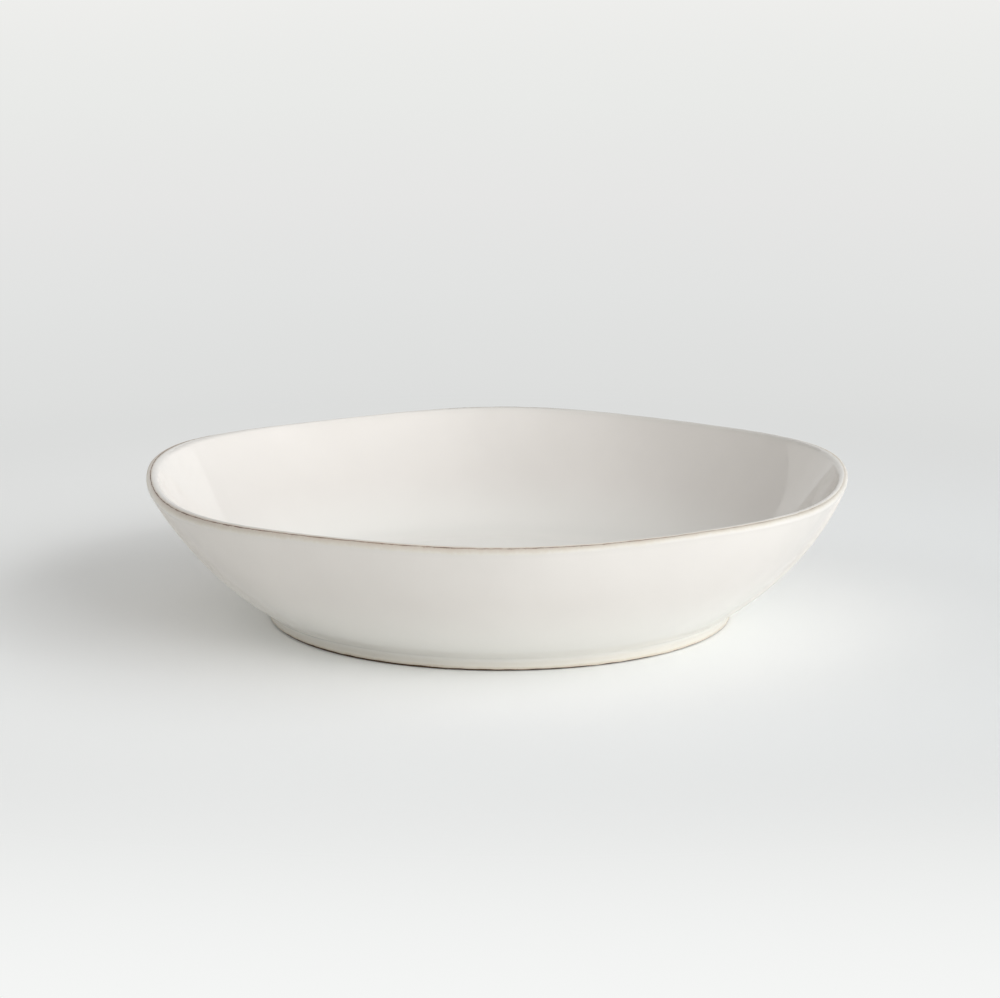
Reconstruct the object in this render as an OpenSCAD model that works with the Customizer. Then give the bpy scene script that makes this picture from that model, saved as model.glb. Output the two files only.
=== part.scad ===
// A low glazed stoneware bowl with a lip that wanders out of round.
// The origin is on the table, under the centre of the foot ring. X runs right, Y to the back, Z up.

/* [Bowl] */
// Width across the lip over the glaze, before the lip wanders
bowl_w = 240; // [210:5:300]
// Height of the lip's crest above the table, before the lip ripples
bowl_h = 50; // [42:1:66]
// Slope of the wall at the lip, in degrees above level
lip_slope = 65; // [60:1:72]
// Thickness of the clay at the lip
lip_t = 3; // [2:0.25:5]
// Thickness of the clay in the floor
floor_t = 5.5; // [4:0.25:8]
// How far inside the foot's edge the inner wall would meet the floor, if it had no turn
floor_inset = 2; // [0:0.5:6]
// Radius of the turn from the wall into the floor, inside
turn_r = 30; // [18:1:40]

/* [Lip] */
// Furthest that the lip wanders in or out of round
lip_wander = 3; // [0:0.25:5]
// Furthest that the lip rises or dips
lip_ripple = 1.2; // [0:0.1:2]
// Width of bare clay along the crest, where the glaze breaks
bare_crest_w = 0.7; // [0.6:0.1:2]

/* [Foot] */
// Width across the foot ring over the glaze
foot_w = 160; // [140:2:176]
// Height of the foot ring
foot_h = 4; // [3:0.25:8]
// Width of the foot ring's section
foot_t = 7; // [5:0.5:12]
// Radius of the foot ring's two bare lower edges, where the glaze stops
foot_edge_r = 0.5; // [0.4:0.1:1.4]
// Radius of the glaze in the crease between the wall and the foot
crease_r = 2.5; // [1:0.25:3.5]
// Radius of the glaze in the turn under the floor, inside the foot ring
recess_turn_r = 1.5; // [0.5:0.25:2]

/* [Glaze] */
// Thickness of the coat
glaze_t = 0.35; // [0.2:0.05:0.6]

/* [Hidden] */

clay_colour = [0.48, 0.37, 0.29];
glaze_colour = [0.93, 0.92, 0.89];

// Where the lip stands out of round at twelve equal hours, counted from +X towards +Y
wander_shares = [0, 0.45, -0.4, 0.45, -0.95, 1, 0.55, 0.45, -0.1, -0.1, -0.2, 0];
// Where the lip stands high or low at the same hours
ripple_shares = [0.55, 0.1, -0.55, 0.2, -0.3, 0.4, 0.25, -1, 0.1, -0.1, 0.6, 0];
hours = len(wander_shares);
hour_angle = 360 / hours;
// The wall is round at the foot and takes up the lip's outline by this power of the way out
take_up_power = 6;

// Facets round the bowl, and steps along each stretch of its section
facets = 72;
wall_steps = 8;
lip_side_steps = 3;
bare_steps = 2;
turn_steps = 4;
crease_steps = 3;
// How far the foot ring's side stands in from the edge of the wall, so that the coat's facets clear it
foot_step = 0.1;

// The foot, without glaze
foot_r = foot_w / 2 - glaze_t;
ring_r = foot_r - foot_step;
recess_r = ring_r - foot_t;
floor_z = foot_h + floor_t;

// The rounded lip, without glaze: a half circle set square to the wall
lip_r = lip_t / 2;
lip_centre = [bowl_w / 2 - glaze_t - lip_r, bowl_h - lip_r];
lip_angle = lip_slope - 90;
lip_side = [cos(lip_angle), sin(lip_angle)];
crest_angle = 90;
bare_half_angle = bare_crest_w / lip_r * 90 / PI;

// The outer wall: the one arc that starts at the foot's edge and runs into the lip at its slope
foot_edge = [foot_r, foot_h];
outer_top = lip_centre + lip_r * lip_side;
outer_r = wall_radius(foot_edge, outer_top);
outer_centre = outer_top - outer_r * lip_side;
foot_angle = angle_of(foot_edge - outer_centre);

// The inner wall: the like arc down to the floor, so that the wall gains thickness towards the foot
floor_edge = [foot_r - floor_inset, floor_z];
inner_top = lip_centre - lip_r * lip_side;
inner_r = wall_radius(floor_edge, inner_top);
inner_centre = inner_top - inner_r * lip_side;

// The turn: an arc that touches both the inner wall and the level floor
turn_drop = inner_centre[1] - floor_z - turn_r;
turn_centre = [inner_centre[0] + sqrt(pow(inner_r - turn_r, 2) - pow(turn_drop, 2)), floor_z + turn_r];
turn_angle = angle_of(turn_centre - inner_centre);
level_angle = -90;

// The crease: an arc in the coat that touches the glazed wall and the glazed side of the foot
coat_foot_r = foot_r + glaze_t;
crease_reach = coat_foot_r + crease_r - outer_centre[0];
crease_span = outer_r + glaze_t + crease_r;
crease_centre = outer_centre + [crease_reach, -sqrt(pow(crease_span, 2) - pow(crease_reach, 2))];
crease_angle = angle_of(crease_centre - outer_centre);

function angle_of(v) = atan2(v[1], v[0]);

// The radius of the one arc that passes through a low point and a high one, and has the lip's slope there
function wall_radius(low, high) = let (v = low - high) -(v * v) / (2 * (lip_side * v));

// Points along an arc in the section plane, from one angle to another
function arc_points(centre, radius, from, to, steps) =
    [for (i = [0:steps]) let (a = from + (to - from) * i / steps) centre + radius * [cos(a), sin(a)]];

function without_first(points) = [for (i = [1:len(points) - 1]) points[i]];

function reversed(points) = [for (i = [len(points) - 1:-1:0]) points[i]];

// The pull of one hour's share at an angle: 1 at its own hour, 0 at every other, and smooth between
function hour_pull(angle) =
    let (half = angle / 2)
    abs(sin(half)) < 1e-6 ? 1 : sin(hours * half) * cos(half) / (hours * sin(half));

function round_the_lip(shares, angle) =
    [for (hour = [0:hours - 1]) shares[hour] * hour_pull(angle - hour * hour_angle)] * [for (share = shares) 1];

// A section point [r, z] set round the bowl: round up to the foot's edge, and wandering at the lip
function placed(point, angle) =
    let (
        way_out = max(0, (point[0] - foot_r) / (lip_centre[0] - foot_r)),
        taken_up = pow(way_out, take_up_power),
        r = point[0] + taken_up * lip_wander * round_the_lip(wander_shares, angle),
        z = point[1] + taken_up * lip_ripple * round_the_lip(ripple_shares, angle)
    )
    [r * cos(angle), r * sin(angle), z];

function ring(point) = [for (i = [0:facets - 1]) placed(point, i * 360 / facets)];

// The triangles between two neighbouring rings of points
function band(first, second) =
    [for (i = [0:facets - 1], upper = [false, true])
        let (next = (i + 1) % facets)
        upper ? [first + i, second + next, first + next] : [first + i, second + i, second + next]];

function flipped(faces, flip) = flip ? [for (face = faces) reversed(face)] : faces;

// A solid turned from a section whose first and last points lie on the axis
module turned_solid(section, flip = false) {
    count = len(section);
    rings = [for (i = [1:count - 2]) each ring(section[i])];
    low_pole = len(rings);
    high_pole = low_pole + 1;
    last = (count - 3) * facets;
    sides = [for (i = [0:count - 4]) each band(i * facets, (i + 1) * facets)];
    caps = [for (i = [0:facets - 1])
        let (next = (i + 1) % facets)
        each [[low_pole, i, next], [high_pole, last + next, last + i]]];
    polyhedron(
        points = concat(rings, [[0, 0, section[0][1]], [0, 0, section[count - 1][1]]]),
        faces = flipped(concat(sides, caps), flip)
    );
}

// A ring-shaped solid turned from a closed section that stays clear of the axis
module turned_ring(section, flip = false) {
    count = len(section);
    rings = [for (point = section) each ring(point)];
    sides = [for (i = [0:count - 1]) each band(i * facets, (i + 1) % count * facets)];
    polyhedron(points = rings, faces = flipped(sides, flip));
}

// The clay's surface from the foot's edge up the wall to the bare crest, and the two sides of the lip
function outer_clay() = arc_points(outer_centre, outer_r, foot_angle, lip_angle, wall_steps);
function outer_lip() = arc_points(lip_centre, lip_r, lip_angle, crest_angle - bare_half_angle, lip_side_steps);
function bare_crest() =
    arc_points(lip_centre, lip_r, crest_angle - bare_half_angle, crest_angle + bare_half_angle, bare_steps);
function inner_lip() = arc_points(lip_centre, lip_r, crest_angle + bare_half_angle, lip_angle + 180, lip_side_steps);
function inner_clay() = arc_points(inner_centre, inner_r, lip_angle, turn_angle, wall_steps);
function turn_clay() = arc_points(turn_centre, turn_r, turn_angle, level_angle, turn_steps);

// The coat's surface over one side of the lip, thinning to nothing at the bare crest
function lip_coat(from, bare) =
    [for (i = [0:lip_side_steps - 1])
        let (way = i / lip_side_steps, a = from + (bare - from) * way, coat = glaze_t * (1 - pow(way, 2)))
        lip_centre + (lip_r + coat) * [cos(a), sin(a)]];

module clay_body() {
    color(clay_colour)
        turned_solid(concat(
            [[0, foot_h]],
            outer_clay(),
            without_first(outer_lip()),
            without_first(bare_crest()),
            without_first(inner_lip()),
            without_first(inner_clay()),
            without_first(turn_clay()),
            [[0, floor_z]]
        ));
}

module foot_ring() {
    flat_w = foot_t - 2 * foot_edge_r;
    color(clay_colour)
        rotate_extrude($fn = facets)
            translate([recess_r, 0])
                union() {
                    translate([0, foot_edge_r])
                        square([foot_t, foot_h - foot_edge_r]);
                    translate([foot_edge_r, 0])
                        square([flat_w, foot_edge_r]);
                    for (x = [foot_edge_r, foot_edge_r + flat_w])
                        translate([x, foot_edge_r])
                            circle(foot_edge_r);
                }
}

module inside_glaze() {
    color(glaze_colour)
        turned_solid(flip = true, concat(
            [[0, floor_z + glaze_t]],
            arc_points(turn_centre, turn_r - glaze_t, level_angle, turn_angle, turn_steps),
            without_first(arc_points(inner_centre, inner_r - glaze_t, turn_angle, lip_angle, wall_steps)),
            without_first(lip_coat(lip_angle + 180, crest_angle + bare_half_angle)),
            inner_lip(),
            without_first(inner_clay()),
            without_first(turn_clay()),
            [[0, floor_z]]
        ));
}

module outside_glaze() {
    color(glaze_colour)
        turned_ring(flip = true, concat(
            [[foot_r, foot_edge_r]],
            outer_clay(),
            without_first(outer_lip()),
            reversed(lip_coat(lip_angle, crest_angle - bare_half_angle)),
            without_first(arc_points(outer_centre, outer_r + glaze_t, lip_angle, crease_angle, wall_steps)),
            without_first(arc_points(crease_centre, crease_r, crease_angle + 180, 180, crease_steps)),
            [[coat_foot_r, foot_edge_r]]
        ));
}

module underside_glaze() {
    side_r = recess_r - glaze_t;
    face_z = foot_h - glaze_t;
    color(glaze_colour)
        rotate_extrude($fn = facets)
            difference() {
                translate([0, foot_edge_r])
                    square([recess_r, foot_h - foot_edge_r]);
                square([side_r, face_z - recess_turn_r]);
                square([side_r - recess_turn_r, face_z]);
                translate([side_r - recess_turn_r, face_z - recess_turn_r])
                    circle(recess_turn_r);
            }
}

clay_body();
foot_ring();
inside_glaze();
outside_glaze();
underside_glaze();
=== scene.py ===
import math

import bpy
import numpy as np
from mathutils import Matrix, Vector


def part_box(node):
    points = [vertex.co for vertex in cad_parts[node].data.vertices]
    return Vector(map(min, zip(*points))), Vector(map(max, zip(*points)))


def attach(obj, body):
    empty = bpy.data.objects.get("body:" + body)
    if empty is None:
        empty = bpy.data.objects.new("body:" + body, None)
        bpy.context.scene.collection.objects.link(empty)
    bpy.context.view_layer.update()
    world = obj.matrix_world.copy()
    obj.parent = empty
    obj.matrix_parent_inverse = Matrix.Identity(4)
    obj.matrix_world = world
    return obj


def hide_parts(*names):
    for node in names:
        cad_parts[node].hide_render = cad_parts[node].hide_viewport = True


# A low glazed stoneware bowl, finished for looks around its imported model.
# Everything is in metres. The origin is on the table under the centre of the foot ring.
# X runs right, Y to the back and Z up.
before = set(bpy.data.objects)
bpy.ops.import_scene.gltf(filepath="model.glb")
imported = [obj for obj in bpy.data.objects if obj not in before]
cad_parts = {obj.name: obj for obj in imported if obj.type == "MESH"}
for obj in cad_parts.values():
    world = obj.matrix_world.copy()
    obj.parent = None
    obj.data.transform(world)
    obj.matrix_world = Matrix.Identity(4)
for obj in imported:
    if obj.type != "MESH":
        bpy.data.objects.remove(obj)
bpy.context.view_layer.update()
bpy.ops.object.select_all(action="DESELECT")

# The bowl's sizes, as its construction has them
BOWL_W = 0.240
BOWL_H = 0.050
LIP_SLOPE = math.radians(65)
LIP_T = 0.003
FLOOR_T = 0.0055
FLOOR_INSET = 0.002
TURN_R = 0.030
LIP_WANDER = 0.003
LIP_RIPPLE = 0.0012
FOOT_W = 0.160
FOOT_H = 0.004
FOOT_T = 0.007
FOOT_EDGE_R = 0.0005
CREASE_R = 0.0025
RECESS_TURN_R = 0.0015
GLAZE_T = 0.00035

# Where the lip stands out of round, and high or low, at twelve equal hours from +X towards +Y
WANDER_SHARES = (0, 0.45, -0.4, 0.45, -0.95, 1, 0.55, 0.45, -0.1, -0.1, -0.2, 0)
RIPPLE_SHARES = (0.55, 0.1, -0.55, 0.2, -0.3, 0.4, 0.25, -1, 0.1, -0.1, 0.6, 0)
HOURS = len(WANDER_SHARES)
TAKE_UP_POWER = 6

# The bare line along the lip: its width where a film of glaze has crept over its edges, and how far
# it lies outside the crest, round the lip's rounding
BARE_LINE_W = 0.00042
BREAK_LEAN = math.radians(28)
# At the back it lies this much nearer to the crest
BACK_SIDE = math.radians(90)
BACK_SHIFT = math.radians(23)
BACK_SWING_POWER = 4
# The sides where the glaze has all but closed over the line, and how far it has
CLOSED_SIDES = ((math.radians(350), 0.9), (math.radians(190), 0.45))
CLOSED_SWING_POWER = 3
# How much further from the line the coat seems where it has closed over it
CLOSED_GAP = 0.0013
# What lies within this many coats of the lip's rounding moves with the line
LIP_COATS = 1.5

# The coat's lower edge on the foot, against the construction's: where it is lowest, how much higher
# it is on its highest side, and how far up the foot its wandering reaches
FOOT_LINE_LOWEST = -0.0003
FOOT_LINE_SWING = 0.00055
FOOT_LINE_HIGH_SIDE = math.radians(230)
FOOT_SWING_POWER = 3
FOOT_LINE_REACH = FOOT_H / 2

# The hand's and the kiln's small unevenness: how far a surface stands off, and how long its waves are
LIP_TREMOR = 0.00006
LIP_TREMOR_WAVE = 0.007
COAT_UNEVEN = 0.12
COAT_UNEVEN_WAVE = 0.028
BREAK_WOBBLE = 0.7
BREAK_WOBBLE_WAVE = 0.003
FOOT_LINE_WOBBLE = 0.00010
FOOT_LINE_WAVE = 0.009
# The lip trembles alike on every piece: its draws in and out, and up and down
LIP_TREMOR_SEEDS = (1, 2)
# How many waves make up an unevenness, and how far their frequencies spread
WAVES = 24
WAVE_SPREAD = (0.5, 1.5)

# Steps round the bowl, and along each stretch of a section
ROUND_STEPS = 540
FLOOR_STEPS = 12
TURN_STEPS = 16
WALL_STEPS = 38
LIP_STEPS = 24
CREASE_STEPS = 8
EDGE_STEPS = 8
SIDE_STEPS = 5
LEDGE_STEPS = 1
# Vertices nearer than this are one
SEAM = 1e-6
SMOOTH_ANGLE = math.radians(40)

UP = math.pi / 2
HALF_TURN = math.pi


def toward(angle):
    """The direction of an angle in the section plane."""
    return np.array([math.cos(angle), math.sin(angle)])


def angle_of(way):
    return math.atan2(way[1], way[0])


def wall_radius(low, high):
    """Radius of the one arc through a low and a high point that has the lip's slope at the high one."""
    chord = low - high
    return -(chord @ chord) / (2 * (lip_side @ chord))


# The foot, without glaze
foot_r = FOOT_W / 2 - GLAZE_T
ring_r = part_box("foot_ring")[1].x
recess_r = ring_r - FOOT_T
floor_z = FOOT_H + FLOOR_T

# The rounded lip: a half circle set square to the wall
lip_r = LIP_T / 2
lip_centre = np.array([BOWL_W / 2 - GLAZE_T - lip_r, BOWL_H - lip_r])
lip_angle = LIP_SLOPE - UP
lip_side = toward(lip_angle)
break_angle = UP - BREAK_LEAN
bare_half = BARE_LINE_W / lip_r / 2

# The outer and inner walls, and the turn from the inner wall into the floor
foot_edge = np.array([foot_r, FOOT_H])
outer_top = lip_centre + lip_r * lip_side
outer_r = wall_radius(foot_edge, outer_top)
outer_centre = outer_top - outer_r * lip_side
foot_angle = angle_of(foot_edge - outer_centre)
inner_top = lip_centre - lip_r * lip_side
inner_r = wall_radius(np.array([foot_r - FLOOR_INSET, floor_z]), inner_top)
inner_centre = inner_top - inner_r * lip_side
turn_drop = inner_centre[1] - floor_z - TURN_R
turn_reach = math.sqrt((inner_r - TURN_R) ** 2 - turn_drop ** 2)
turn_centre = np.array([inner_centre[0] + turn_reach, floor_z + TURN_R])
turn_angle = angle_of(turn_centre - inner_centre)

# The crease, where the outside coat runs from the wall into the side of the foot
coat_foot_r = foot_r + GLAZE_T
crease_reach = coat_foot_r + CREASE_R - outer_centre[0]
crease_span = outer_r + GLAZE_T + CREASE_R
crease_drop = math.sqrt(crease_span ** 2 - crease_reach ** 2)
crease_centre = outer_centre + np.array([crease_reach, -crease_drop])
crease_angle = angle_of(crease_centre - outer_centre)


# A section is rows of r, z and the thickness of glaze under the surface there, which is 0 on clay.

def arc(centre, radius, start, end, steps, coat=0.0):
    turns = np.linspace(start, end, steps + 1)
    return np.stack([
        centre[0] + radius * np.cos(turns),
        centre[1] + radius * np.sin(turns),
        np.full(steps + 1, coat),
    ], axis=1)


def straight(start, end, steps, coat=0.0):
    places = np.linspace(start, end, steps + 1)
    return np.column_stack([places, np.full(steps + 1, coat)])


def lip_coat(tangent, bare):
    """The coat's surface over one side of the lip, thinning to nothing at the bare line."""
    way = np.linspace(0, 1, LIP_STEPS + 1)
    turns = tangent + (bare - tangent) * way
    coat = GLAZE_T * (1 - way ** 2)
    reach = lip_r + coat
    return np.stack([
        lip_centre[0] + reach * np.cos(turns),
        lip_centre[1] + reach * np.sin(turns),
        coat,
    ], axis=1)


def joined(*stretches):
    """One section from stretches that each start where the one before ends."""
    return np.vstack([stretches[0], *[stretch[1:] for stretch in stretches[1:]]])


def run_along(section):
    """The distance along a section from its first point to each of its points."""
    legs = np.hypot(*np.diff(section[:, :2], axis=0).T)
    return np.concatenate([[0], np.cumsum(legs)])


def outer_clay():
    return arc(outer_centre, outer_r, foot_angle, lip_angle, WALL_STEPS)


def inner_clay():
    return joined(
        arc(inner_centre, inner_r, lip_angle, turn_angle, WALL_STEPS),
        arc(turn_centre, TURN_R, turn_angle, -UP, TURN_STEPS),
        straight((turn_centre[0], floor_z), (0, floor_z), FLOOR_STEPS),
    )


def clay_section():
    return joined(
        straight((0, FOOT_H), foot_edge, FLOOR_STEPS),
        outer_clay(),
        arc(lip_centre, lip_r, lip_angle, lip_angle + HALF_TURN, 2 * LIP_STEPS),
        inner_clay(),
    )


def foot_section():
    return joined(
        straight((recess_r, FOOT_H), (ring_r, FOOT_H), SIDE_STEPS),
        straight((ring_r, FOOT_H), (ring_r, FOOT_EDGE_R), SIDE_STEPS),
        arc((ring_r - FOOT_EDGE_R, FOOT_EDGE_R), FOOT_EDGE_R, 0, -UP, EDGE_STEPS),
        straight((ring_r - FOOT_EDGE_R, 0), (recess_r + FOOT_EDGE_R, 0), SIDE_STEPS),
        arc((recess_r + FOOT_EDGE_R, FOOT_EDGE_R), FOOT_EDGE_R, -UP, -HALF_TURN, EDGE_STEPS),
        straight((recess_r, FOOT_EDGE_R), (recess_r, FOOT_H), SIDE_STEPS),
    )


def inside_section():
    bare = break_angle + bare_half
    tangent = lip_angle + HALF_TURN
    face_z = floor_z + GLAZE_T
    return joined(
        straight((0, face_z), (turn_centre[0], face_z), FLOOR_STEPS, GLAZE_T),
        arc(turn_centre, TURN_R - GLAZE_T, -UP, turn_angle, TURN_STEPS, GLAZE_T),
        arc(inner_centre, inner_r - GLAZE_T, turn_angle, lip_angle, WALL_STEPS, GLAZE_T),
        lip_coat(tangent, bare),
        arc(lip_centre, lip_r, bare, tangent, LIP_STEPS),
        inner_clay(),
    )


def outside_section():
    bare = break_angle - bare_half
    roll_r = (coat_foot_r - ring_r) / 2
    roll_z = FOOT_EDGE_R + roll_r
    return joined(
        straight((ring_r, roll_z), (ring_r, FOOT_H), SIDE_STEPS),
        straight((ring_r, FOOT_H), foot_edge, LEDGE_STEPS),
        outer_clay(),
        arc(lip_centre, lip_r, lip_angle, bare, LIP_STEPS),
        lip_coat(lip_angle, bare)[::-1],
        arc(outer_centre, outer_r + GLAZE_T, lip_angle, crease_angle, WALL_STEPS, GLAZE_T),
        arc(crease_centre, CREASE_R, crease_angle + HALF_TURN, HALF_TURN, CREASE_STEPS, GLAZE_T),
        straight((coat_foot_r, crease_centre[1]), (coat_foot_r, roll_z), SIDE_STEPS, GLAZE_T),
        arc((ring_r + roll_r, roll_z), roll_r, 0, -HALF_TURN, EDGE_STEPS),
    )


def underside_section():
    side_r = recess_r - GLAZE_T
    face_z = FOOT_H - GLAZE_T
    roll_r = GLAZE_T / 2
    roll_z = FOOT_EDGE_R + roll_r
    fillet = np.array([side_r - RECESS_TURN_R, face_z - RECESS_TURN_R])
    return joined(
        straight((0, FOOT_H), (recess_r, FOOT_H), FLOOR_STEPS),
        straight((recess_r, FOOT_H), (recess_r, roll_z), SIDE_STEPS),
        arc((recess_r - roll_r, roll_z), roll_r, 0, -HALF_TURN, EDGE_STEPS),
        straight((side_r, roll_z), (side_r, fillet[1]), SIDE_STEPS, GLAZE_T),
        arc(fillet, RECESS_TURN_R, 0, UP, CREASE_STEPS, GLAZE_T),
        straight((fillet[0], face_z), (0, face_z), FLOOR_STEPS, GLAZE_T),
    )


def turned(name, section):
    """A solid whose section is drawn out point by point from one vertex, then turned once round."""
    bpy.ops.mesh.primitive_plane_add(size=LIP_T, location=(0, 0, 0))
    piece = bpy.context.object
    piece.name = name
    piece.data.name = name
    bpy.ops.object.mode_set(mode="EDIT")
    bpy.ops.mesh.select_all(action="SELECT")
    bpy.ops.mesh.merge(type="CENTER")
    bpy.ops.transform.translate(value=(section[0, 0], 0, section[0, 1]))
    for step in np.diff(section[:, :2], axis=0):
        move = {"value": (step[0], 0, step[1])}
        bpy.ops.mesh.extrude_region_move(TRANSFORM_OT_translate=move)
    bpy.ops.object.mode_set(mode="OBJECT")
    wheel = piece.modifiers.new("wheel", "SCREW")
    wheel.angle = math.tau
    wheel.steps = ROUND_STEPS
    wheel.render_steps = ROUND_STEPS
    bpy.ops.object.modifier_apply(modifier=wheel.name)
    bpy.ops.object.mode_set(mode="EDIT")
    bpy.ops.mesh.select_all(action="SELECT")
    bpy.ops.mesh.remove_doubles(threshold=SEAM)
    bpy.ops.mesh.normals_make_consistent(inside=False)
    bpy.ops.object.mode_set(mode="OBJECT")
    return piece


def places_of(piece):
    places = np.empty(3 * len(piece.data.vertices), np.float32)
    piece.data.vertices.foreach_get("co", places)
    return places.reshape(-1, 3).astype(float)


def nearest_rows(piece, section):
    """For each vertex, the row of the section that it was turned from."""
    places = places_of(piece)
    out = np.hypot(places[:, 0], places[:, 1])
    gaps = np.hypot(out[:, None] - section[:, 0], places[:, 2, None] - section[:, 1])
    return gaps.argmin(axis=1)


def note(piece, name, values):
    """Keeps one number a vertex on the piece, for its finish to read."""
    layer = piece.data.attributes.new(name, "FLOAT", "POINT")
    layer.data.foreach_set("value", values.astype(np.float32))


def unevenness(places, wave, seed):
    """A smooth random height at each place, mostly within 1 either way, in waves about that long."""
    draw = np.random.default_rng(seed)
    ways = draw.normal(size=(WAVES, 3))
    ways /= np.linalg.norm(ways, axis=1)[:, None]
    ways *= (math.tau / wave * draw.uniform(*WAVE_SPREAD, WAVES))[:, None]
    starts = draw.uniform(0, math.tau, WAVES)
    return np.cos(places @ ways.T + starts).sum(axis=1) / math.sqrt(2 * WAVES)


def round_the_lip(shares, turns):
    """A smooth line round the bowl that has each hour's share at that hour."""
    line = np.zeros_like(turns)
    for hour, share in enumerate(shares):
        half = (turns - hour * math.tau / HOURS) / 2
        there = np.abs(np.sin(half)) < SEAM
        safe = np.where(there, 1, half)
        pull = np.sin(HOURS * safe) * np.cos(safe) / (HOURS * np.sin(safe))
        line += share * np.where(there, 1, pull)
    return line


def swing(turns, side, power):
    """A line round the bowl that is 1 at one side and falls away to 0 at the other."""
    return ((1 + np.cos(turns - side)) / 2) ** power


def closed_over(turns):
    """How far the glaze has closed over the bare line round the lip."""
    return sum(share * swing(turns, side, CLOSED_SWING_POWER) for side, share in CLOSED_SIDES)


# Each step of the shaping gives every vertex a new r and z. It takes the old ones, how far round the
# bowl the vertex lies, and the place over it on a level rim.

def swelled(section, rows, places, seed):
    """The coat a little thicker here and thinner there."""
    along = np.gradient(section[:, :2], axis=0)
    square = np.column_stack([-along[:, 1], along[:, 0]])
    square /= np.maximum(np.linalg.norm(square, axis=1), SEAM)[:, None]
    swell = COAT_UNEVEN * section[rows, 2] * unevenness(places, COAT_UNEVEN_WAVE, seed)
    return section[rows, :2] + square[rows] * swell[:, None]


def broken_over_lip(flat, turns, rim, seed):
    """The glaze broken along the bare line, whose edges wobble."""
    lean = flat - lip_centre
    around = np.arctan2(lean[:, 1], lean[:, 0])
    reach = np.hypot(*lean.T)
    on_lip = reach < lip_r + LIP_COATS * GLAZE_T
    side = np.sign(break_angle - around)
    bare = break_angle - side * bare_half
    tangent = np.where(side > 0, lip_angle, lip_angle + HALF_TURN)
    way = np.clip((around - tangent) / (bare - tangent), 0, 1) * on_lip
    opened = BREAK_WOBBLE * unevenness(rim, BREAK_WOBBLE_WAVE, seed)
    opened = (1 + opened) * (1 - closed_over(turns)) - 1
    nearer_crest = BACK_SHIFT * swing(turns, BACK_SIDE, BACK_SWING_POWER)
    around_new = around + way ** 2 * (nearer_crest - side * bare_half * opened)
    moved = lip_centre + reach[:, None] * np.column_stack([np.cos(around_new), np.sin(around_new)])
    return np.where(on_lip[:, None], moved, flat)


def stopped_on_foot(flat, turns, rim, seed):
    """The glaze stopped above the table along another wobbling line, on both sides of the foot."""
    low = np.clip(1 - (flat[:, 1] - FOOT_EDGE_R) / FOOT_LINE_REACH, 0, 1)
    line = FOOT_LINE_LOWEST + FOOT_LINE_SWING * swing(turns, FOOT_LINE_HIGH_SIDE, FOOT_SWING_POWER)
    line += FOOT_LINE_WOBBLE * unevenness(rim, FOOT_LINE_WAVE, seed)
    return flat + np.column_stack([np.zeros_like(line), low * line])


def wandering(flat, turns, rim):
    """The lip wandering, rippling and trembling, and the wall taking it up."""
    way_out = np.maximum(0, (flat[:, 0] - foot_r) / (lip_centre[0] - foot_r))
    taken_up = way_out ** TAKE_UP_POWER
    outline = np.column_stack([
        taken_up * LIP_WANDER * round_the_lip(WANDER_SHARES, turns),
        taken_up * LIP_RIPPLE * round_the_lip(RIPPLE_SHARES, turns),
    ])
    near_crest = np.exp(-((flat - lip_centre) ** 2).sum(axis=1) / LIP_T ** 2)
    draws = np.column_stack([unevenness(rim, LIP_TREMOR_WAVE, seed) for seed in LIP_TREMOR_SEEDS])
    return flat + outline + (LIP_TREMOR * near_crest)[:, None] * draws


def shape_by_hand(piece, section, seed):
    """Gives a turned piece its uneven coat, its wobbling bare edges and the lip's wandering outline."""
    rows = nearest_rows(piece, section)
    places = places_of(piece)
    turns = np.arctan2(places[:, 1], places[:, 0])
    rim = np.column_stack([np.cos(turns), np.sin(turns), np.zeros_like(turns)]) * lip_centre[0]
    flat = swelled(section, rows, places, seed)
    if section[:, 2].any():
        flat = broken_over_lip(flat, turns, rim, seed + 1)
        flat = stopped_on_foot(flat, turns, rim, seed + 2)
    flat = wandering(flat, turns, rim)
    shaped = np.column_stack([flat[:, 0] * np.cos(turns), flat[:, 0] * np.sin(turns), flat[:, 1]])
    piece.data.vertices.foreach_set("co", shaped.astype(np.float32).ravel())
    piece.data.update()
    return rows


# How fast the coat gets its full colour away from each bare edge, against the outside of the lip
OUTSIDE_LIP_PACE = 1
INSIDE_LIP_PACE = 3.6
FOOT_PACE = 2.2
# A gap that is wider than any, for a start
FAR_FROM_EDGE = 1.0
# Painted shade greys the glaze in its turns: its width in the crease and under the floor, its width
# in the wide turn inside, and its depth
TURN_SHADE_W = 0.0025
WIDE_TURN_SHADE_W = 3 * TURN_SHADE_W
TURN_SHADE_DEPTH = 0.075
# Painted shade greys it softly where it rolls over the lip too, in the same way
LIP_SHADE_W = 0.0022
INSIDE_LIP_SHADE_DEPTH = 0.8
OUTSIDE_LIP_SHADE_DEPTH = 0.5
# The side where the painted shade inside is deepest, and how much of it is lost away from there
DEEPEST_SHADE_SIDE = math.radians(55)
SHADE_SWING_POWER = 2
SHADE_LOST = 0.8


def coat_notes(piece, section, rows, edges, greyed, lost=0.0):
    """Notes how far each vertex is from a bare edge, and how much painted shade greys the glaze there."""
    run = run_along(section)
    gap = np.full(len(section), FAR_FROM_EDGE)
    for edge, pace in edges:
        gap = np.minimum(gap, np.abs(run - run[edge]) * pace)
    depth = sum(share * np.exp(-((run - run[row]) / width) ** 2) for row, width, share in greyed)
    places = places_of(piece)
    turns = np.arctan2(places[:, 1], places[:, 0])
    on_lip = places[:, 2] > BOWL_H / 2
    note(piece, "edge_gap", gap[rows] + CLOSED_GAP * closed_over(turns) * on_lip)
    kept = 1 - lost * (1 - swing(turns, DEEPEST_SHADE_SIDE, SHADE_SWING_POWER))
    note(piece, "greyed", depth[rows] * kept)


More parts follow.
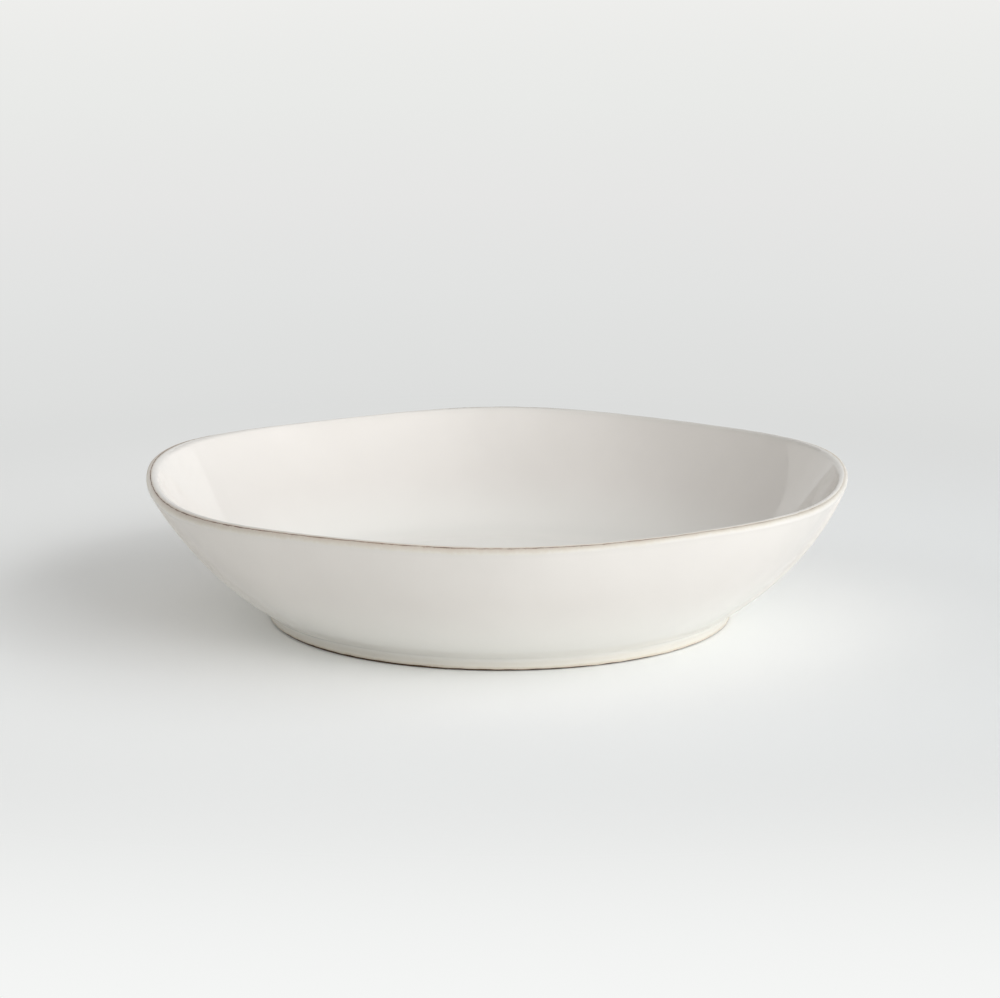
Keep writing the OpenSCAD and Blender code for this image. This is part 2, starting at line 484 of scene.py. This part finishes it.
def smooth(piece):
    bpy.context.view_layer.objects.active = piece
    piece.select_set(True)
    bpy.ops.object.shade_smooth_by_angle(angle=SMOOTH_ANGLE)
    piece.select_set(False)


# Shader maths

class Wire:
    """A shader socket that takes part in arithmetic: each expression adds its Math nodes."""

    def __init__(self, finish, socket):
        self.finish = finish
        self.socket = socket

    def __add__(self, other):
        return self.finish.maths("ADD", self, other)

    def __sub__(self, other):
        return self.finish.maths("SUBTRACT", self, other)

    def __rsub__(self, other):
        return self.finish.maths("SUBTRACT", other, self)

    def __mul__(self, other):
        return self.finish.maths("MULTIPLY", self, other)

    def __truediv__(self, other):
        return self.finish.maths("DIVIDE", self, other)

    __radd__ = __add__
    __rmul__ = __mul__


class Finish:
    """A material, built up node by node."""

    def __init__(self, name):
        self.material = bpy.data.materials.new(name)
        self.material.use_nodes = True
        self.tree = self.material.node_tree
        self.tree.nodes.clear()

    def node(self, kind, settings, sockets, out=0):
        """Adds a node with its settings first, then the values or wires of its sockets."""
        made = self.tree.nodes.new("ShaderNode" + kind)
        for name, value in settings.items():
            if name == "stops":
                self.set_stops(made.color_ramp, value)
            else:
                setattr(made, name, value)
        for name, value in sockets.items():
            if isinstance(value, Wire):
                self.tree.links.new(value.socket, made.inputs[name])
            else:
                made.inputs[name].default_value = value
        return Wire(self, made.outputs[out]) if made.outputs else made

    def set_stops(self, ramp, stops):
        while len(ramp.elements) < len(stops):
            ramp.elements.new(1)
        for element, (place, colour) in zip(ramp.elements, stops):
            element.position = place
            element.color = colour

    def maths(self, operation, first, second):
        return self.node("Math", {"operation": operation}, {0: first, 1: second})

    def clamped(self, value):
        return self.node("Clamp", {}, {"Value": value})

    def rise(self, value, start, end):
        """0 at the start, 1 at the end, and a soft step between."""
        settings = {"interpolation_type": "SMOOTHSTEP"}
        return self.node("MapRange", settings, {"Value": value, "From Min": start, "From Max": end})

    def mixed(self, way, share, first, second):
        """Two colours mixed one way, through the sockets that the node keeps for colours."""
        settings = {"data_type": "RGBA", "blend_type": way}
        return self.node("Mix", settings, {0: share, 6: first, 7: second}, out=2)

    def blend(self, share, first, second):
        """The first colour where the share is 0 and the second where it is 1."""
        return self.mixed("MIX", share, first, second)

    def tinted(self, colour, tint):
        """The colour with the tint's share of each of its parts."""
        return self.mixed("MULTIPLY", 1.0, colour, tint)

    def ramp(self, value, stops):
        """The colour that a table of stops has at a value."""
        return self.node("ValToRGB", {"stops": stops}, {"Fac": value})

    def clouds(self, size, detail=2.0, roughness=0.5):
        """Noise whose blotches are about this many metres across, from 0 to 1."""
        sockets = {"Vector": self.place, "Scale": 1 / size, "Detail": detail, "Roughness": roughness}
        return self.node("TexNoise", {}, sockets)

    def scattered(self, size):
        """The distance to the nearest of scattered points about this many metres apart, as its share."""
        return self.node("TexVoronoi", {}, {"Vector": self.place, "Scale": 1 / size})

    def bumps(self, height, depth):
        return self.node("Bump", {}, {"Strength": 1.0, "Distance": depth, "Height": height})

    @property
    def place(self):
        return self.node("TexCoord", {}, {}, out="Object")

    def along(self, axis):
        """The place along X, Y or Z."""
        return self.node("SeparateXYZ", {}, {"Vector": self.place}, out=axis)

    def noted(self, name):
        """The number that was noted on each vertex by this name."""
        return self.node("Attribute", {"attribute_name": name}, {}, out="Fac")

    def surface(self, sockets):
        return self.node("BsdfPrincipled", {}, sockets)

    def matt(self, colour):
        """A surface of one colour that doesn't shine at all."""
        return self.surface({"Base Color": colour, "Roughness": 1.0, "Specular IOR Level": 0.0})

    def between(self, share, first, second):
        """The first surface where the share is 0 and the second where it is 1."""
        return self.node("MixShader", {}, {0: share, 1: first, 2: second})

    def done(self, shader):
        self.node("OutputMaterial", {}, {"Surface": shader})
        return self.material


def tone(red, green, blue):
    """A colour as it looks on a screen, out of 255, made linear."""
    shares = [part / 255 for part in (red, green, blue)]
    linear = [((s + 0.055) / 1.055) ** 2.4 if s > 0.04045 else s / 12.92 for s in shares]
    return (*linear, 1)


# The middle of the range that clouds have
CLOUDS_MIDDLE = 0.5

# The glaze's tones: the two that its blotches run between, its painted light low on the wall, on the
# side of the foot, its painted shade, and its iron specks
GLAZE_DARKER = tone(224, 219, 213)
GLAZE_PALER = tone(228, 223, 217)
GLAZE_PAINTED_LIGHT = tone(239, 237, 231)
GLAZE_ON_FOOT = tone(218, 213, 203)
GLAZE_PAINTED_SHADE = tone(204, 201, 194)
IRON_SPECK = tone(128, 100, 78)
# How large its blotches, patches, wisps, swells, grain and specks are
BLOTCH = 0.045
PATCH = 0.009
WISP = 0.0013
SWELL = 0.016
GLAZE_GRAIN = 0.0009
SPECK = 0.0019
# Between which cloud values the blotches turn, and between which heights the painted light fades up
# the wall and the glaze changes on the side of the foot
BLOTCH_TURN = (0.3, 0.7)
PAINTED_LIGHT_HEIGHTS = (0.005, 0.031)
ON_FOOT_HEIGHTS = (0.0022, 0.0045)
# How far from a bare edge on the outside of the lip the coat is thin enough to tint, how far wisps
# and patches stretch that, and its tints from the bare edge on
THIN_W = 0.0029
WISP_STRETCH = 0.0012
PATCH_STRETCH = 0.0010
BREAK_TINTS = (
    (0.00, (0.52, 0.42, 0.35, 1)),
    (0.09, (0.78, 0.68, 0.59, 1)),
    (0.26, (0.88, 0.81, 0.75, 1)),
    (0.50, (0.91, 0.87, 0.80, 1)),
    (0.72, (0.98, 0.97, 0.93, 1)),
    (0.92, (1.00, 1.00, 1.00, 1)),
)
# A speck's soft rim, how thin the coat is where specks come through, and how strong they are
SPECK_RIM = (0.10, 0.24)
SPECK_THINNESS = (0.55, 0.9)
SPECK_STRENGTH = 0.35
# The gloss: the depth of its bumps and the grain's share in them, its roughness in full, in patches
# and where the coat is thin, its bending of light, and the turn away from the eye that softens it
GLAZE_BUMPS = 0.00005
GLAZE_GRAIN_SHARE = 0.05
GLOSS_ROUGHNESS = 0.04
PATCH_ROUGHNESS = 0.03
THIN_ROUGHNESS = 0.2
GLAZE_IOR = 1.5
TURNED_AWAY = (0.78, 0.92)


def white_glaze():
    """A warm white gloss glaze that thins to beige and lets the clay through where it breaks over an edge."""
    finish = Finish("warm_white_glaze")
    blotches = finish.clouds(BLOTCH, detail=3)
    wisps = finish.clouds(WISP, detail=3, roughness=0.6)
    patches = finish.clouds(PATCH)

    # Painted light from the floor whitens the glaze toward the foot, but it is thin on the foot's side
    body = finish.blend(finish.rise(blotches, *BLOTCH_TURN), GLAZE_DARKER, GLAZE_PALER)
    painted_light = 1 - finish.rise(finish.along("Z"), *PAINTED_LIGHT_HEIGHTS)
    body = finish.blend(painted_light, body, GLAZE_PAINTED_LIGHT)
    on_foot = 1 - finish.rise(finish.along("Z"), *ON_FOOT_HEIGHTS)
    body = finish.blend(on_foot, body, GLAZE_ON_FOOT)
    # Painted shade greys the glaze in its turns and where it rolls over the lip
    body = finish.blend(finish.clamped(finish.noted("greyed")), body, GLAZE_PAINTED_SHADE)

    # The gap to the bare edge is stretched and squeezed, so that the break has no even line
    gap = finish.noted("edge_gap")
    gap += (wisps - CLOUDS_MIDDLE) * WISP_STRETCH
    gap += (patches - CLOUDS_MIDDLE) * PATCH_STRETCH
    thickness = finish.clamped(gap / THIN_W)
    thinness = 1 - thickness
    colour = finish.tinted(body, finish.ramp(thickness, BREAK_TINTS))

    # Iron specks come through where the coat is thin
    specks = 1 - finish.rise(finish.scattered(SPECK), *SPECK_RIM)
    specks *= finish.rise(thinness, *SPECK_THINNESS)
    colour = finish.blend(specks * SPECK_STRENGTH, colour, IRON_SPECK)

    # Where it turns away from the eye, the gloss softens into the glaze's own colour
    height = finish.clouds(SWELL, detail=1) + finish.clouds(GLAZE_GRAIN) * GLAZE_GRAIN_SHARE
    gloss = finish.surface({
        "Base Color": colour,
        "Roughness": GLOSS_ROUGHNESS + patches * PATCH_ROUGHNESS + thinness * THIN_ROUGHNESS,
        "IOR": GLAZE_IOR,
        "Normal": finish.bumps(height, GLAZE_BUMPS),
    })
    facing = finish.node("LayerWeight", {}, {"Blend": 0.5}, out="Facing")
    return finish.done(finish.between(finish.rise(facing, *TURNED_AWAY), gloss, finish.matt(colour)))


# The clay's tones: the two that its toasting runs between, its grain, its grit, and the painted
# contact shadow toward the table
CLAY_DARKER = tone(98, 77, 66)
CLAY_PALER = tone(150, 130, 116)
CLAY_GRAIN_TONE = tone(170, 150, 134)
CLAY_GRIT_TONE = tone(70, 52, 38)
CLAY_CONTACT_SHADOW = tone(72, 54, 32)
# How large its toasted patches, its grain and its grit are
TOAST = 0.006
CLAY_GRAIN = 0.0006
GRIT = 0.0011
# Between which cloud values the toasting and the grain turn, how far up the foot the painted contact
# shadow reaches, and a grit's soft rim
TOAST_TURN = (0.40, 0.62)
GRAIN_TURN = (0.3, 0.8)
CONTACT_SHADOW_HEIGHTS = (0.001, 0.006)
GRIT_RIM = (0.12, 0.25)
# How strong each is, how deep the bumps are, and how rough the clay is without and with its grain
GRAIN_STRENGTH = 0.3
CONTACT_SHADOW_STRENGTH = 0.9
GRIT_STRENGTH = 0.4
CLAY_BUMPS = 0.00006
CLAY_ROUGHNESS = 0.72
GRAIN_ROUGHNESS = 0.2


def bare_clay():
    """Fired brown stoneware, dry and grainy, toasted darker in places, with a painted contact shadow toward
    the table.
    """
    finish = Finish("toasted_stoneware")
    toast = finish.clouds(TOAST, detail=3, roughness=0.6)
    grain = finish.clouds(CLAY_GRAIN, detail=3, roughness=0.7)
    grit = 1 - finish.rise(finish.scattered(GRIT), *GRIT_RIM)
    low = 1 - finish.rise(finish.along("Z"), *CONTACT_SHADOW_HEIGHTS)
    colour = finish.blend(finish.rise(toast, *TOAST_TURN), CLAY_DARKER, CLAY_PALER)
    colour = finish.blend(finish.rise(grain, *GRAIN_TURN) * GRAIN_STRENGTH, colour, CLAY_GRAIN_TONE)
    # Painted contact shadow: the clay darkens toward the table
    colour = finish.blend(low * CONTACT_SHADOW_STRENGTH, colour, CLAY_CONTACT_SHADOW)
    colour = finish.blend(grit * GRIT_STRENGTH, colour, CLAY_GRIT_TONE)
    return finish.done(finish.surface({
        "Base Color": colour,
        "Roughness": CLAY_ROUGHNESS + grain * GRAIN_ROUGHNESS,
        "Normal": finish.bumps(grain + grit * GRIT_STRENGTH, CLAY_BUMPS),
    }))


glaze = white_glaze()
clay = bare_clay()


def finished(name, section, node, material, seed):
    """One piece of the bowl, turned, shaped and set in place of its plain solid."""
    piece = turned(name, section)
    rows = shape_by_hand(piece, section, seed)
    smooth(piece)
    piece.data.materials.append(material)
    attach(piece, "root")
    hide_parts(node)
    return piece, rows


def thrown_clay():
    finished("thrown_clay", clay_section(), "clay_body", clay, seed=10)


def trimmed_foot():
    finished("trimmed_foot", foot_section(), "foot_ring", clay, seed=20)


def inside_coat():
    section = inside_section()
    piece, rows = finished("inside_coat", section, "inside_glaze", glaze, seed=30)
    turn_row = FLOOR_STEPS + TURN_STEPS // 2
    lip_edge = FLOOR_STEPS + TURN_STEPS + WALL_STEPS + LIP_STEPS
    greyed = [(turn_row, WIDE_TURN_SHADE_W, TURN_SHADE_DEPTH), (lip_edge, LIP_SHADE_W, INSIDE_LIP_SHADE_DEPTH)]
    coat_notes(piece, section, rows, [(lip_edge, INSIDE_LIP_PACE)], greyed, SHADE_LOST)


def outside_coat():
    section = outside_section()
    piece, rows = finished("outside_coat", section, "outside_glaze", glaze, seed=40)
    last_row = len(section) - 1
    lip_edge = SIDE_STEPS + LEDGE_STEPS + WALL_STEPS + LIP_STEPS
    foot_line = last_row - EDGE_STEPS // 2
    crease_row = last_row - EDGE_STEPS - SIDE_STEPS - CREASE_STEPS // 2
    edges = [(lip_edge, OUTSIDE_LIP_PACE), (foot_line, FOOT_PACE)]
    greyed = [(crease_row, TURN_SHADE_W, TURN_SHADE_DEPTH), (lip_edge, LIP_SHADE_W, OUTSIDE_LIP_SHADE_DEPTH)]
    coat_notes(piece, section, rows, edges, greyed)


def underside_coat():
    section = underside_section()
    piece, rows = finished("underside_coat", section, "underside_glaze", glaze, seed=50)
    foot_line = FLOOR_STEPS + SIDE_STEPS + EDGE_STEPS // 2
    fillet_row = FLOOR_STEPS + 2 * SIDE_STEPS + EDGE_STEPS + CREASE_STEPS // 2
    coat_notes(piece, section, rows, [(foot_line, FOOT_PACE)], [(fillet_row, TURN_SHADE_W, TURN_SHADE_DEPTH)])


thrown_clay()
trimmed_foot()
inside_coat()
outside_coat()
underside_coat()


# Stage: a pale round floor whose far rim sweeps up all the way round
FLOOR_R = 6.5
FLOOR_CORNERS = 128
SWEEP_R = 1.5
SWEEP_STEPS = 12
SWEEP_TOP = 1.5
# The paper's tones at the left and the right of the bowl, and where it turns from one to the other:
# painted light and shade, paler on the left where the bowl's shadow falls and greyer on the right
PAPER_LEFT = tone(250, 250, 248)
PAPER_RIGHT = tone(236, 237, 236)
PAPER_ACROSS = (-0.15, 0.25)
# How far from the bowl's middle the lit paper starts and ends its change to an even backdrop, where
# the backdrop is palest, and its tones from near to far: a painted shadow just behind the bowl,
# paling with painted light further off
BACKDROP_NEAR = 0.16
BACKDROP_FAR = 0.42
BACKDROP_END = 4.0
BACKDROP_TONES = (
    (0.00, tone(217, 218, 217)),
    (0.05, tone(219, 220, 219)),
    (0.08, tone(222, 223, 222)),
    (0.16, tone(226, 227, 226)),
    (0.28, tone(230, 230, 229)),
    (0.50, tone(233, 234, 232)),
    (1.00, tone(238, 238, 236)),
)
# Where it starts and ends its change to a paler tone toward the camera, which is painted light, and that tone
BACKDROP_AHEAD = (-0.08, -0.40)
AHEAD_TONE = tone(245, 246, 245)


def floor_paper():
    """Matt white paper, lit round the bowl, that the camera and the gloss see as a backdrop further off."""
    finish = Finish("white_paper")
    # Painted light and shade: the paper is paler on the left and greyer on the right
    white = finish.blend(finish.rise(finish.along("X"), *PAPER_ACROSS), PAPER_LEFT, PAPER_RIGHT)

    # The backdrop pales from a painted shadow behind the bowl up to the far edge, and toward the camera,
    # with painted light
    out = finish.node("VectorMath", {"operation": "LENGTH"}, {0: finish.place}, out="Value")
    distance = finish.clamped((out - BACKDROP_NEAR) / (BACKDROP_END - BACKDROP_NEAR))
    ahead = finish.rise(finish.along("Y"), *BACKDROP_AHEAD)
    shade = finish.blend(ahead, finish.ramp(distance, BACKDROP_TONES), AHEAD_TONE)
    backdrop = finish.node("Emission", {}, {"Color": shade, "Strength": 1.0})

    seen = finish.node("LightPath", {}, {}, out="Is Camera Ray")
    mirrored = finish.node("LightPath", {}, {}, out="Is Glossy Ray")
    far = finish.clamped(finish.rise(out, BACKDROP_NEAR, BACKDROP_FAR) + ahead)
    share = finish.clamped(seen + mirrored) * far
    return finish.done(finish.between(share, finish.matt(white), backdrop))


def studio_floor():
    bpy.ops.mesh.primitive_circle_add(vertices=FLOOR_CORNERS, radius=FLOOR_R, location=(0, 0, 0))
    floor = bpy.context.object
    floor.name = "studio_floor"
    bpy.ops.object.mode_set(mode="EDIT")
    bpy.ops.mesh.select_all(action="SELECT")
    reach = FLOOR_R
    rise = 0.0
    for step in range(1, SWEEP_STEPS + 1):
        turn = UP * step / SWEEP_STEPS
        next_reach = FLOOR_R + SWEEP_R * math.sin(turn)
        next_rise = SWEEP_R * (1 - math.cos(turn))
        bpy.ops.mesh.extrude_region_move(TRANSFORM_OT_translate={"value": (0, 0, next_rise - rise)})
        spread = next_reach / reach
        bpy.ops.transform.resize(value=(spread, spread, 1))
        reach = next_reach
        rise = next_rise
    bpy.ops.mesh.extrude_region_move(TRANSFORM_OT_translate={"value": (0, 0, SWEEP_TOP)})
    bpy.ops.mesh.select_all(action="DESELECT")
    bpy.ops.object.mode_set(mode="OBJECT")
    for corner in floor.data.vertices:
        corner.select = corner.co.z < SEAM
    bpy.ops.object.mode_set(mode="EDIT")
    bpy.ops.mesh.edge_face_add()
    bpy.ops.mesh.select_all(action="SELECT")
    bpy.ops.mesh.normals_make_consistent(inside=True)
    bpy.ops.object.mode_set(mode="OBJECT")
    bpy.ops.object.shade_smooth_by_angle(angle=SMOOTH_ANGLE)
    floor.select_set(False)
    floor.data.materials.append(floor_paper())


studio_floor()


# Light: soft boxes on the right in front, and fill from the left, from behind and from the air
BOWL_MIDDLE = Vector((0, 0, 0.03))
DAYLIGHT = (0.975, 1.0, 1.03)
AIR_TONE = (1, 0.995, 0.985, 1)
AIR_STRENGTH = 0.42
# Each box's name, its place, its width and height, and its power in watts
SOFTBOXES = (
    ("main_box", (2.15, -2.0, 1.6), (2.35, 1.45), 47),
    ("low_box", (2.3, -2.0, 0.46), (2.35, 0.8), 23),
    ("side_box", (2.7, -0.2, 1.7), (2.35, 1.45), 26),
    ("front_box", (0.5, -2.9, 1.4), (2.35, 1.45), 5.5),
    ("left_fill", (-2.9, 0, 1.45), (2.35, 1.45), 15),
    ("back_fill", (2.0, 2.0, 1.4), (2.9, 1.8), 9),
)


def aimed(piece, target):
    """Turns a lamp or a camera to look at a point."""
    piece.rotation_euler = (target - piece.location).to_track_quat("-Z", "Y").to_euler()


def softbox(name, place, size, power):
    bpy.ops.object.light_add(type="AREA", location=place)
    lamp = bpy.context.object
    lamp.name = name
    lamp.data.shape = "RECTANGLE"
    lamp.data.size, lamp.data.size_y = size
    lamp.data.energy = power
    lamp.data.color = DAYLIGHT
    lamp.visible_camera = False
    lamp.visible_glossy = False
    aimed(lamp, BOWL_MIDDLE)


for box in SOFTBOXES:
    softbox(*box)

world = bpy.data.worlds.new("studio_air")
bpy.context.scene.world = world
world.use_nodes = True
air = world.node_tree.nodes["Background"]
air.inputs["Color"].default_value = AIR_TONE
air.inputs["Strength"].default_value = AIR_STRENGTH

# Camera: level with the photograph's, above and in front
CAMERA_AIM = Vector((0, 0, 0.0399))
CAMERA_REACH = 1.08
CAMERA_RISE = math.radians(12.15)
CAMERA_SENSOR = 36
CAMERA_LENS = 112.25
bpy.ops.object.camera_add()
camera = bpy.context.object
camera.location = CAMERA_AIM + CAMERA_REACH * Vector((0, -math.cos(CAMERA_RISE), math.sin(CAMERA_RISE)))
aimed(camera, CAMERA_AIM)
camera.data.sensor_width = CAMERA_SENSOR
camera.data.lens = CAMERA_LENS
bpy.context.scene.camera = camera
bpy.context.scene.view_settings.view_transform = "Standard"
